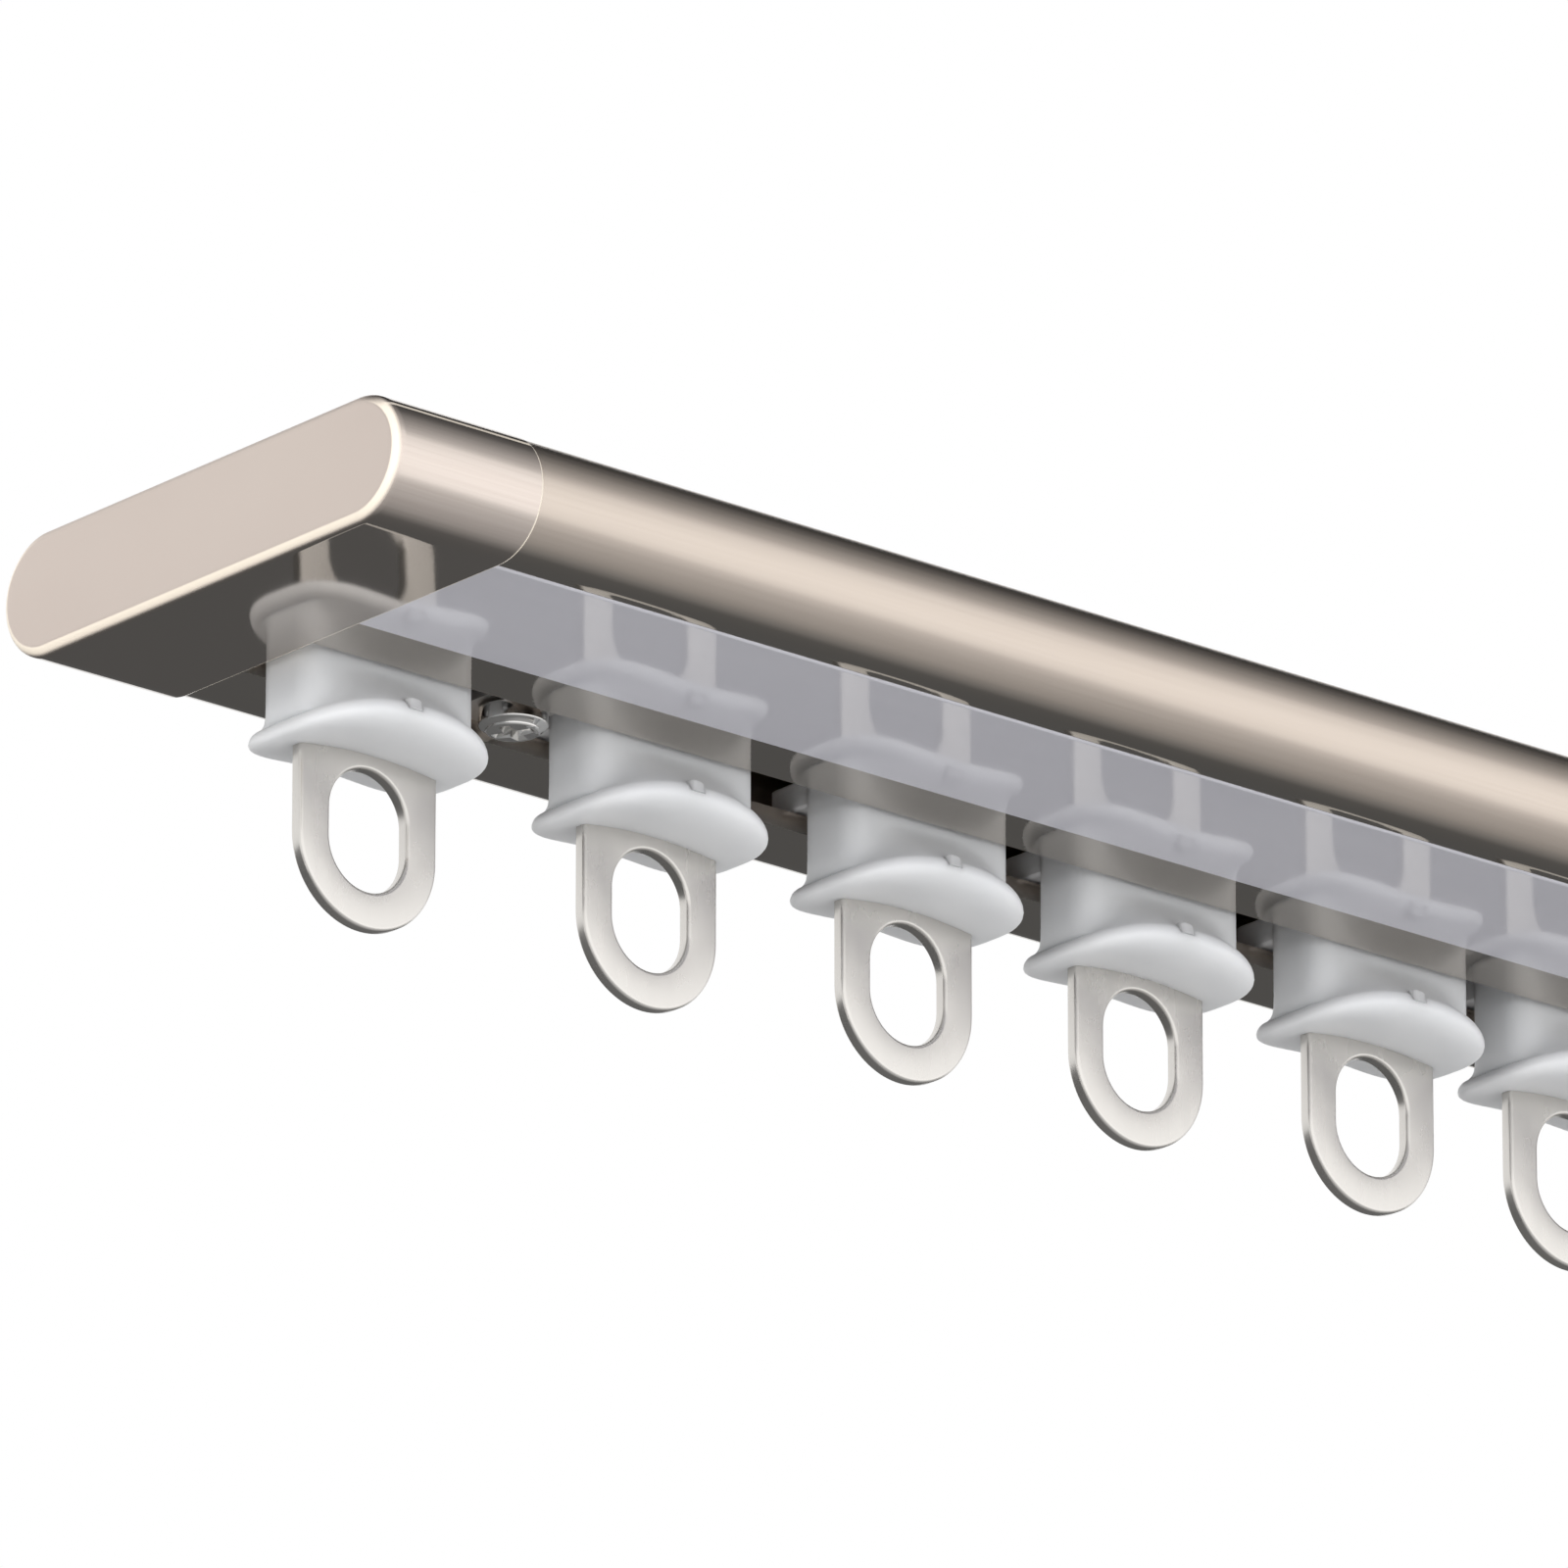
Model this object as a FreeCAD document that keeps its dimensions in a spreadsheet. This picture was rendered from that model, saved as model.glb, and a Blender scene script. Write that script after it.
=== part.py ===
import FreeCAD, Part
import Sketcher
import os
import re

# Curtain track: a flat oval rail that hangs under a ceiling, its underside slotted for rolling carriers.
# Lengths are in millimetres. X runs along the rail, Y from its front to its back and Z up.
# The origin is the middle of the rail's flat top face, which lies against the ceiling.

SIZES = {
    # The rail with both end caps on, and the section of its extrusion.
    "track_length": 500.0,
    "rail_width": 62.0,
    "rail_height": 13.0,
    "skin_thickness": 1.3,
    "web_thickness": 1.3,
    "roof_thickness": 2.2,
    "lip_thickness": 2.0,
    "slot_width": 11.0,
    "slot_from_back": 20.1,
    "channel_width": 22.6,
    # The strip in the underside, in front of the slot.
    "strip_from_front": 7.3,
    "front_lip_width": 7.4,
    "groove_depth": 1.0,
    "strip_proud": 0.2,
    "strip_clearance": 0.05,
    "strip_edge_round": 0.35,
    # Countersunk holes for the ceiling screws.
    "ceiling_hole": 4.5,
    "ceiling_screw_head": 8.4,
    "ceiling_hole_spacing": 328.0,
    "ceiling_hole_count": 2,
    # End caps, each held by two tongues in the rail's closed chambers.
    "cap_length": 19.0,
    "cap_overhang": 0.4,
    "cap_edge": 1.0,
    "cap_wall": 1.6,
    "tongue_reach": 14.0,
    "front_tongue_width": 12.0,
    "tongue_clearance": 0.1,
    # End stops: a block in the channel and the screw that jams it against the roof.
    "stop_from_cap": 31.2,
    "stop_length": 9.0,
    "stop_side_clearance": 0.5,
    "stop_height": 6.5,
    "screw_shank": 4.0,
    "screw_hole_clearance": 0.1,
    "screw_head": 7.2,
    "screw_head_crown": 0.5,
    "recess_span": 4.0,
    "recess_width": 1.0,
    "recess_depth": 1.1,
    # Carriers: the neck that passes through the slot, and the head in the channel.
    "neck_length": 22.4,
    "neck_clearance": 1.2,
    "neck_corner": 2.5,
    "head_clearance": 0.7,
    "guide_wall_clearance": 2.0,
    "guide_length": 4.5,
    "guide_inset": 0.7,
    "guide_clearance": 0.3,
    "guide_height": 3.2,
    # The flange under the rail: a thick pad that arches down towards both its ends.
    "flange_length": 23.7,
    "flange_width": 18.2,
    "flange_corner": 6.5,
    "flange_drop": 4.45,
    "flange_thickness": 2.8,
    "flange_arch_radius": 28.0,
    "flange_edge": 0.9,
    # Eyelet plates.
    "eyelet_width": 17.8,
    "eyelet_thickness": 1.6,
    "eyelet_setback": 0.6,
    "eyelet_drop": 26.3,
    "eyelet_hole_length": 13.0,
    "eyelet_hole_width": 10.0,
    "eyelet_hole_margin": 4.0,
    "eyelet_socket": 4.0,
    # Wheels and their axles, which reach from the neck to near the channel's walls.
    "axle_wall_clearance": 0.85,
    "wheel_side_clearance": 0.2,
    "wheel_lip_clearance": 0.15,
    "wheel_roof_clearance": 0.85,
    "wheel_end_play": 0.15,
    "axle_diameter": 2.0,
    "axle_clearance": 0.06,
    "axle_head": 3.2,
    "axle_head_length": 0.6,
    "boss_length": 4.4,
    "boss_height": 4.4,
    # Free way beside each carrier, from the left end: to the cap, to the stop, then from flange to flange.
    "carrier_gap_1": 1.0,
    "carrier_gap_2": 2.5,
    "carrier_gap_3": 11.0,
    "carrier_gap_4": 8.3,
    "carrier_gap_5": 8.9,
    "carrier_gap_6": 5.0,
}
CARRIERS = 6
# How far a cut runs past the face that it starts from, and how near two heights are to be the same.
PAST = 1
NEAR = 0.01

# Sizes that follow from the ones above. Heights are below the top face, so they are negative.
DERIVED = {
    "rail_radius": "rail_height / 2",
    "rail_underside": "-rail_height",
    "front_centre": "rail_height / 2 - rail_width / 2",
    "back_centre": "rail_width / 2 - rail_height / 2",
    "inner_radius": "rail_height / 2 - skin_thickness",
    "rail_start": "cap_length - track_length / 2",
    "slot_centre": "rail_width / 2 - slot_from_back",
    "slot_front": "slot_centre - slot_width / 2",
    "slot_back": "slot_centre + slot_width / 2",
    "channel_front": "slot_centre - channel_width / 2",
    "channel_back": "slot_centre + channel_width / 2",
    "lip_top": "lip_thickness - rail_height",
    "groove_front": "strip_from_front - rail_width / 2",
    "groove_back": "slot_front - front_lip_width",
    "chamber_floor": "groove_depth + skin_thickness - rail_height",
    "floor_below_centre": "rail_radius - groove_depth - skin_thickness",
    "floor_reach": "sqrt(inner_radius * inner_radius - floor_below_centre * floor_below_centre)",
    "back_chamber_front": "channel_back + web_thickness",
    "cap_radius": "(rail_height + cap_overhang) / 2",
    "cap_centre": "rail_width / 2 + cap_overhang - cap_radius",
    "neck_width": "slot_width - 2 * neck_clearance",
    "head_top": "-roof_thickness - head_clearance",
    "flange_top": "rail_underside - flange_drop",
    "flange_bottom": "flange_top - flange_thickness",
    "arch_centre": "(flange_top + flange_bottom) / 2 - flange_arch_radius",
    "arch_top_radius": "flange_arch_radius + flange_thickness / 2",
    "arch_bottom_radius": "flange_arch_radius - flange_thickness / 2",
    "flange_end": "flange_length / 2",
    "arch_top_end": "arch_centre + sqrt(arch_top_radius * arch_top_radius - flange_end * flange_end)",
    "arch_bottom_end":
        "arch_centre + sqrt(arch_bottom_radius * arch_bottom_radius - flange_end * flange_end)",
    "eyelet_radius": "eyelet_width / 2",
    "eyelet_bottom": "rail_underside - eyelet_drop",
    "eyelet_top": "flange_top + eyelet_socket",
    "eyelet_hole_radius": "eyelet_hole_width / 2",
    "eyelet_hole_bottom": "eyelet_bottom + eyelet_hole_margin",
    "channel_height": "rail_height - roof_thickness - lip_thickness",
    "wheel_diameter": "channel_height - wheel_lip_clearance - wheel_roof_clearance",
    "wheel_centre": "lip_top + wheel_lip_clearance + wheel_diameter / 2",
    "axle_end": "channel_width / 2 - axle_wall_clearance",
    "axle_head_start": "axle_end - axle_head_length",
    "wheel_inner": "slot_width / 2 + wheel_side_clearance",
    "wheel_outer": "axle_head_start - wheel_end_play",
}

doc = FreeCAD.newDocument("curtain_track")
sizes = doc.addObject("Spreadsheet::Sheet", "sizes")
for row, (alias, size) in enumerate(SIZES.items(), start=1):
    sizes.set(f"A{row}", alias)
    sizes.set(f"B{row}", str(size))
    sizes.setAlias(f"B{row}", alias)
doc.recompute()

nodes = []


def bound(text):
    """The expression text with each name replaced by its cell, or by the sizes that it follows from."""
    def replace(match):
        word = match.group(0)
        if word in DERIVED:
            return "(" + bound(DERIVED[word]) + ")"
        return "sizes." + word if word in SIZES else word
    return re.sub(r"[a-z][a-z_0-9]*", replace, str(text))


def number(text):
    """The present value of an expression."""
    return float(sizes.evalExpression(bound(text)))


def new_body(name, along="0", across="0"):
    """A body that is one node of the track, moved to its own place along and across the rail."""
    body = doc.addObject("PartDesign::Body", name)
    body.Label = name
    body.setExpression("Placement.Base.x", bound(along))
    body.setExpression("Placement.Base.y", bound(across))
    nodes.append(body)
    return body


def new_sketch(body, plane, offset="0", right="0", up="0"):
    """A sketch on one of the body's own planes, moved along the plane's normal, and within the plane."""
    sketch = body.newObject("Sketcher::SketchObject", "sketch")
    sketch.AttachmentSupport = [f for f in body.Origin.OriginFeatures if f.Role == plane][0]
    sketch.MapMode = "FlatFace"
    for axis, text in (("x", right), ("y", up), ("z", offset)):
        sketch.setExpression("AttachmentOffset.Base." + axis, bound(text))
    return sketch


def fix_point(sketch, edge, end, x, y):
    """Holds a point of the sketch at a place given by two expressions."""
    for kind, text in (("DistanceX", x), ("DistanceY", y)):
        number_of = sketch.addConstraint(Sketcher.Constraint(kind, -1, 1, edge, end, number(text)))
        sketch.setExpression(f"Constraints[{number_of}]", bound(text))


def add_outline(sketch, corners, arcs=None):
    """Adds a closed outline through the corners. arcs gives, for the edge that leaves a corner, the
    centre of its circle and 1 where it turns anticlockwise or -1 where it turns clockwise."""
    arcs = arcs or {}
    first = sketch.GeometryCount
    at = [FreeCAD.Vector(number(x), number(y), 0) for x, y in corners]
    ends = []
    for i, start in enumerate(at):
        finish = at[(i + 1) % len(at)]
        if i not in arcs:
            sketch.addGeometry(Part.LineSegment(start, finish))
            ends.append((1, 2))
            continue
        x, y, turn = arcs[i]
        centre = FreeCAD.Vector(number(x), number(y), 0)
        low, high = (start, finish) if turn > 0 else (finish, start)
        circle = Part.Circle(centre, FreeCAD.Vector(0, 0, 1), (start - centre).Length)
        sketch.addGeometry(Part.ArcOfCircle(circle, circle.parameter(low), circle.parameter(high)))
        ends.append((1, 2) if turn > 0 else (2, 1))
    for i, start in enumerate(at):
        following = (i + 1) % len(at)
        sketch.addConstraint(Sketcher.Constraint(
            "Coincident", first + i, ends[i][1], first + following, ends[following][0]))
    for i, (x, y) in enumerate(corners):
        fix_point(sketch, first + i, ends[i][0], x, y)
    for i, (x, y, turn) in arcs.items():
        chord = at[(i + 1) % len(at)] - at[i]
        kind, text = ("DistanceX", x) if abs(chord.y) >= abs(chord.x) else ("DistanceY", y)
        number_of = sketch.addConstraint(Sketcher.Constraint(kind, -1, 1, first + i, 3, number(text)))
        sketch.setExpression(f"Constraints[{number_of}]", bound(text))


def add_rectangle(sketch, left, right, low, high):
    add_outline(sketch, [(left, low), (right, low), (right, high), (left, high)])


def add_circle(sketch, x, y, radius):
    """Adds a whole circle."""
    circle = Part.Circle(FreeCAD.Vector(number(x), number(y), 0), FreeCAD.Vector(0, 0, 1), number(radius))
    edge = sketch.addGeometry(circle)
    fix_point(sketch, edge, 3, x, y)
    number_of = sketch.addConstraint(Sketcher.Constraint("Radius", edge, number(radius)))
    sketch.setExpression(f"Constraints[{number_of}]", bound(radius))


def add_rounded_rectangle(sketch, length, width, corner):
    """Adds a rectangle about the sketch's origin, with four equal round corners."""
    along, across, bend = f"({length}) / 2", f"({width}) / 2", f"({corner})"
    corners, arcs = [], {}
    for sign_x, sign_y in ((1, -1), (1, 1), (-1, 1), (-1, -1)):
        before = (f"{sign_x} * {along}", f"{sign_y} * ({across} - {bend})")
        after = (f"{sign_x} * ({along} - {bend})", f"{sign_y} * {across}")
        if sign_x * sign_y < 0:
            before, after = after, before
        centre = (f"{sign_x} * ({along} - {bend})", f"{sign_y} * ({across} - {bend})", 1)
        arcs[len(corners)] = centre
        corners += [before, after]
    add_outline(sketch, corners, arcs)


def add_oval(sketch, centre, middle, radius):
    """Adds a flat oval: its round ends are centred in front and behind, at a height named middle."""
    low, high = f"{middle} - {radius}", f"{middle} + {radius}"
    corners = [(f"-{centre}", low), (centre, low), (centre, high), (f"-{centre}", high)]
    add_outline(sketch, corners, {1: (centre, middle, 1), 3: (f"-{centre}", middle, 1)})


def extrude(body, kind, sketch, length, reverse=False):
    """A Pad or a Pocket of the sketch, along its normal for a Pad and against it for a Pocket."""
    feature = body.newObject("PartDesign::" + kind, kind.lower())
    feature.Profile = sketch
    feature.setExpression("Length", bound(length))
    feature.Reversed = reverse
    return feature


def turn_about(body, kind, sketch, axis):
    """A Revolution or a Groove: a full turn of the sketch about its own horizontal or vertical axis."""
    feature = body.newObject("PartDesign::" + kind, kind.lower())
    feature.Profile = sketch
    feature.ReferenceAxis = (sketch, [axis])
    feature.Angle = 360
    return feature


def soften(body, kind, measure, base, edges, size):
    """A Fillet or a Chamfer on the named edges of a feature."""
    feature = body.newObject("PartDesign::" + kind, kind.lower())
    feature.Base = (base, edges)
    feature.setExpression(measure, bound(size))


def edges_where(feature, test):
    """The names of the feature's edges whose middle passes the test."""
    doc.recompute()
    found = [i for i, edge in enumerate(feature.Shape.Edges, start=1) if test(edge)]
    return [f"Edge{i}" for i in found]


def make_rail():
    """The extrusion: two closed chambers, the open channel with its slot, and the groove of the strip."""
    body = new_body("rail")
    length = "track_length - 2 * cap_length"
    section = new_sketch(body, "YZ_Plane", "rail_start")
    add_oval(section, "back_centre", "-rail_radius", "rail_radius")
    extrude(body, "Pad", section, length)

    hollow = new_sketch(body, "YZ_Plane", "rail_start")
    chamber_back = "channel_front - web_thickness"
    add_outline(
        hollow,
        [("front_centre", "-skin_thickness"), ("front_centre - floor_reach", "chamber_floor"),
         (chamber_back, "chamber_floor"), (chamber_back, "-skin_thickness")],
        {0: ("front_centre", "-rail_radius", 1)})
    reach = "back_chamber_front - back_centre"
    rise = f"sqrt(inner_radius * inner_radius - ({reach}) * ({reach}))"
    add_outline(
        hollow,
        [("back_chamber_front", f"-rail_radius - {rise}"), ("back_chamber_front", f"{rise} - rail_radius")],
        {0: ("back_centre", "-rail_radius", 1)})
    below = f"rail_underside - {PAST}"
    add_outline(
        hollow,
        [("slot_front", below), ("slot_back", below), ("slot_back", "lip_top"), ("channel_back", "lip_top"),
         ("channel_back", "-roof_thickness"), ("channel_front", "-roof_thickness"),
         ("channel_front", "lip_top"), ("slot_front", "lip_top")])
    add_rectangle(hollow, "groove_front", "groove_back", below, "rail_underside + groove_depth")
    extrude(body, "Pocket", hollow, length, reverse=True)

    # The leftmost countersunk hole, turned about its own upright axis and repeated along the rail.
    row_length = "ceiling_hole_spacing * (ceiling_hole_count - 1)"
    hole = new_sketch(body, "XZ_Plane", "-slot_centre", f"-({row_length}) / 2")
    bore, head = "ceiling_hole / 2", "ceiling_screw_head / 2"
    in_channel = f"-roof_thickness - {PAST}"
    add_outline(
        hole,
        [("0", f"{PAST}"), ("0", in_channel), (head, in_channel), (head, "-roof_thickness"),
         (bore, f"{head} - {bore} - roof_thickness"), (bore, f"{PAST}")])
    cut = turn_about(body, "Groove", hole, "V_Axis")
    row = body.newObject("PartDesign::LinearPattern", "row")
    row.Originals = [cut]
    row.Direction = (hole, ["H_Axis"])
    row.setExpression("Length", bound(row_length))
    row.setExpression("Occurrences", bound("ceiling_hole_count"))
    body.Tip = row


def make_strip():
    """The strip, which fills its groove and stands a little proud of the underside."""
    body = new_body("underside_strip")
    section = new_sketch(body, "YZ_Plane", "rail_start")
    add_rectangle(
        section, "groove_front + strip_clearance", "groove_back - strip_clearance",
        "rail_underside - strip_proud", "rail_underside + groove_depth")
    bar = extrude(body, "Pad", section, "track_length - 2 * cap_length")
    lowest = number("rail_underside - strip_proud")
    long_edges = edges_where(
        bar, lambda edge: abs(edge.CenterOfMass.z - lowest) < NEAR and edge.BoundBox.YLength < NEAR)
    soften(body, "Fillet", "Radius", bar, long_edges, "strip_edge_round")


def make_cap(name, side):
    """A hollow cap, flush with the rail's top face and butted on its end. It stands out a little in
    front, behind and below, and two tongues hold it in the rail's closed chambers."""
    body = new_body(name)
    towards_left = side > 0
    outer = new_sketch(body, "YZ_Plane", f"{side} * track_length / 2")
    add_oval(outer, "cap_centre", "-cap_radius", "cap_radius")
    block = extrude(body, "Pad", outer, "cap_length", reverse=towards_left)
    end = side * number("track_length / 2")
    rim = edges_where(block, lambda edge: abs(edge.CenterOfMass.x - end) < NEAR)
    soften(body, "Chamfer", "Size", block, rim, "cap_edge")

    inside = f"{side} * (track_length / 2 - cap_wall)"
    cavity = new_sketch(body, "YZ_Plane", inside)
    add_oval(cavity, "cap_centre", "-cap_radius", "(cap_radius - cap_wall)")
    extrude(body, "Pocket", cavity, "cap_length", reverse=not towards_left)

    # The tongues keep the shape of the chambers, less their clearance, and start on the cap's end wall.
    tongues = new_sketch(body, "YZ_Plane", inside)
    radius = "(inner_radius - tongue_clearance)"
    floor = "(chamber_floor + tongue_clearance)"
    below = f"(-rail_radius - {floor})"
    corner = f"front_centre - sqrt({radius} * {radius} - {below} * {below})"
    add_outline(
        tongues,
        [("front_centre", f"{radius} - rail_radius"), (corner, floor),
         ("front_centre - inner_radius + front_tongue_width", floor),
         ("front_centre - inner_radius + front_tongue_width", f"{radius} - rail_radius")],
        {0: ("front_centre", "-rail_radius", 1)})
    flat = "(back_chamber_front + tongue_clearance)"
    reach = f"({flat} - back_centre)"
    rise = f"sqrt({radius} * {radius} - {reach} * {reach})"
    add_outline(
        tongues, [(flat, f"-rail_radius - {rise}"), (flat, f"{rise} - rail_radius")],
        {0: ("back_centre", "-rail_radius", 1)})
    extrude(body, "Pad", tongues, "cap_length - cap_wall + tongue_reach", reverse=towards_left)


def make_stop(name_end, side):
    """An end stop: the block that rests on the lips, and the screw that jams it against the roof."""
    along = f"{side} * (track_length / 2 - cap_length - stop_from_cap)"
    block = new_body("stop_block_" + name_end, along, "slot_centre")
    half_width = "(channel_width / 2 - stop_side_clearance)"
    section = new_sketch(block, "YZ_Plane", "-stop_length / 2")
    add_rectangle(section, f"-{half_width}", half_width, "lip_top", "lip_top + stop_height")
    extrude(block, "Pad", section, "stop_length")
    hole = new_sketch(block, "XY_Plane", "lip_top + stop_height")
    add_circle(hole, "0", "0", "screw_shank / 2 + screw_hole_clearance")
    extrude(block, "Pocket", hole, "stop_height")

    screw = new_body("stop_screw_" + name_end, along, "slot_centre")
    profile = new_sketch(screw, "XZ_Plane")
    shank, head = "screw_shank / 2", "screw_head / 2"
    add_outline(
        profile,
        [("0", "-roof_thickness"), ("0", "rail_underside"), (f"{head} - screw_head_crown", "rail_underside"),
         (head, "rail_underside + screw_head_crown"), (head, "lip_top"), (shank, "lip_top"),
         (shank, "-roof_thickness")])
    turn_about(screw, "Revolution", profile, "V_Axis")
    recess = new_sketch(screw, "XY_Plane", "rail_underside")
    far, near = "recess_span / 2", "recess_width / 2"
    quarter = [(far, near), (near, near), (near, far)]
    corners = []
    for swap, sign_x, sign_y in ((False, 1, 1), (True, -1, 1), (False, -1, -1), (True, 1, -1)):
        arm = quarter[::-1] if swap else quarter
        corners += [(f"{sign_x} * ({x})", f"{sign_y} * ({y})") for x, y in arm]
    add_outline(recess, corners)
    extrude(screw, "Pocket", recess, "recess_depth", reverse=True)


def make_carrier(number_in_row, along):
    """A one-piece carrier: neck and head, arched flange, guide lugs, boss, bore and socket."""
    body = new_body(f"carrier_{number_in_row}", along, "slot_centre")
    # The flange is an arched band seen from the front, whose plan is then cut to a rounded rectangle.
    band = new_sketch(body, "XZ_Plane", "-flange_width / 2")
    add_outline(
        band,
        [("-flange_end", "arch_bottom_end"), ("flange_end", "arch_bottom_end"),
         ("flange_end", "arch_top_end"), ("-flange_end", "arch_top_end")],
        {0: ("0", "arch_centre", -1), 2: ("0", "arch_centre", 1)})
    extrude(body, "Pad", band, "flange_width")
    around = new_sketch(body, "XY_Plane", "flange_top")
    beyond = f"(flange_end + {PAST})"
    add_rectangle(around, f"-{beyond}", beyond, f"-{beyond}", beyond)
    add_rounded_rectangle(around, "flange_length", "flange_width", "flange_corner")
    plan = extrude(body, "Pocket", around, "flange_top - arch_bottom_end")
    rims = edges_where(plan, lambda edge: edge.BoundBox.ZLength < number("flange_thickness") - NEAR)
    soften(body, "Chamfer", "Size", plan, rims, "flange_edge")

    neck = new_sketch(body, "XY_Plane", "(flange_top + flange_bottom) / 2")
    add_rounded_rectangle(neck, "neck_length", "neck_width", "neck_corner")
    extrude(body, "Pad", neck, "head_top - (flange_top + flange_bottom) / 2")

    # Guide lugs over the lips, before and behind the wheels, keep the carrier level.
    lugs = new_sketch(body, "XY_Plane", "lip_top + guide_clearance")
    half_width = "(channel_width / 2 - guide_wall_clearance)"
    outer = "(neck_length / 2 - guide_inset)"
    inner = f"({outer} - guide_length)"
    add_rectangle(lugs, inner, outer, f"-{half_width}", half_width)
    add_rectangle(lugs, f"-{outer}", f"-{inner}", f"-{half_width}", half_width)
    extrude(body, "Pad", lugs, "guide_height")

    # The boss that spaces the wheels from the neck, and the axle's bore through it.
    boss = new_sketch(body, "XZ_Plane", "wheel_end_play - wheel_inner", up="wheel_centre")
    half_length, half_height = "boss_length / 2", "boss_height / 2"
    add_rectangle(boss, f"-{half_length}", half_length, f"-{half_height}", half_height)
    extrude(body, "Pad", boss, "2 * (wheel_inner - wheel_end_play)")
    bore = new_sketch(body, "XZ_Plane", "wheel_inner")
    add_circle(bore, "0", "wheel_centre", "axle_diameter / 2")
    extrude(body, "Pocket", bore, "2 * wheel_inner")
    socket = new_sketch(body, "XY_Plane", "eyelet_top")
    add_rectangle(
        socket, "-eyelet_radius", "eyelet_radius",
        "eyelet_setback - eyelet_thickness / 2", "eyelet_setback + eyelet_thickness / 2")
    extrude(body, "Pocket", socket, "eyelet_top - arch_bottom_end")


def make_eyelet(number_in_row, along):
    """The stamped plate: straight sides, a half-round bottom and an obround hole."""
    body = new_body(f"eyelet_{number_in_row}", along, "slot_centre")
    plate = new_sketch(body, "XZ_Plane", "-eyelet_setback - eyelet_thickness / 2")
    turning = "eyelet_bottom + eyelet_radius"
    add_outline(
        plate,
        [("-eyelet_radius", "eyelet_top"), ("-eyelet_radius", turning),
         ("eyelet_radius", turning), ("eyelet_radius", "eyelet_top")],
        {1: ("0", turning, 1)})
    low = "eyelet_hole_bottom + eyelet_hole_radius"
    high = "eyelet_hole_bottom + eyelet_hole_length - eyelet_hole_radius"
    add_outline(
        plate,
        [("-eyelet_hole_radius", high), ("-eyelet_hole_radius", low),
         ("eyelet_hole_radius", low), ("eyelet_hole_radius", high)],
        {1: ("0", low, 1), 3: ("0", high, 1)})
    extrude(body, "Pad", plate, "eyelet_thickness")


def make_axle(number_in_row, along):
    """The pin through the carrier's head, with a formed end outside each wheel."""
    body = new_body(f"axle_{number_in_row}", along, "slot_centre")
    profile = new_sketch(body, "YZ_Plane", up="wheel_centre")
    inner, outer = "axle_head_start", "axle_end"
    pin, head = "axle_diameter / 2", "axle_head / 2"
    add_outline(
        profile,
        [(f"-({outer})", "0"), (outer, "0"), (outer, head), (inner, head), (inner, pin),
         (f"-({inner})", pin), (f"-({inner})", head), (f"-({outer})", head)])
    turn_about(body, "Revolution", profile, "H_Axis")


def make_wheel(name, along, side):
    """A wheel in front of or behind the neck, on the same axle."""
    body = new_body(name, along, "slot_centre")
    # The plane's normal points to the front, so the back wheel starts at its own back face.
    start = "wheel_inner" if side < 0 else "-wheel_outer"
    disc = new_sketch(body, "XZ_Plane", start)
    add_circle(disc, "0", "wheel_centre", "wheel_diameter / 2")
    add_circle(disc, "0", "wheel_centre", "axle_diameter / 2 + axle_clearance")
    extrude(body, "Pad", disc, "wheel_outer - wheel_inner")


def carrier_places():
    """Where each carrier hangs along the rail, worked out from the free way beside it."""
    stop = "(cap_length + stop_from_cap - track_length / 2)"
    places = ["(rail_start + carrier_gap_1 + neck_length / 2)",
              f"({stop} + stop_length / 2 + carrier_gap_2 + neck_length / 2)"]
    for i in range(3, CARRIERS + 1):
        places.append(f"({places[-1]} + flange_length + carrier_gap_{i})")
    return places


make_rail()
make_strip()
make_cap("end_cap_left", -1)
make_cap("end_cap_right", 1)
make_stop("left", -1)
make_stop("right", 1)
for i, place in enumerate(carrier_places(), start=1):
    make_carrier(i, place)
    make_eyelet(i, place)
    make_axle(i, place)
    make_wheel(f"wheel_front_{i}", place, -1)
    make_wheel(f"wheel_back_{i}", place, 1)
doc.recompute()

# Nothing is written unless every object is sound and every node is one valid solid.
for item in doc.Objects:
    if "Invalid" in item.State or "Error" in item.State:
        raise RuntimeError(f"{item.Name} ({item.Label}) failed: {item.State}")
for node in nodes:
    if node.Shape.isNull() or not node.Shape.isValid() or len(node.Shape.Solids) != 1:
        raise RuntimeError(f"{node.Label} is not one valid solid")

os.makedirs("parts", exist_ok=True)
for node in nodes:
    node.Shape.exportStep(f"parts/{node.Label}.step")
    print(f"{node.Label}: {node.Shape.Volume:.1f} cubic millimetres")
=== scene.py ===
# %% [markdown]
# # A curtain track seen from below
#
# The object is a slim aluminium rail that hangs under a ceiling. Six nylon carriers roll in its
# slot, and each holds a nickel eyelet for a curtain hook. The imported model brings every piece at
# its real size and place. This notebook keeps that frame, replaces the pieces whose surfaces need
# finer work, and gives every piece its finish.

# %% The frame
import math

import bmesh
import bpy
import numpy as np
from mathutils import Matrix, Vector


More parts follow.
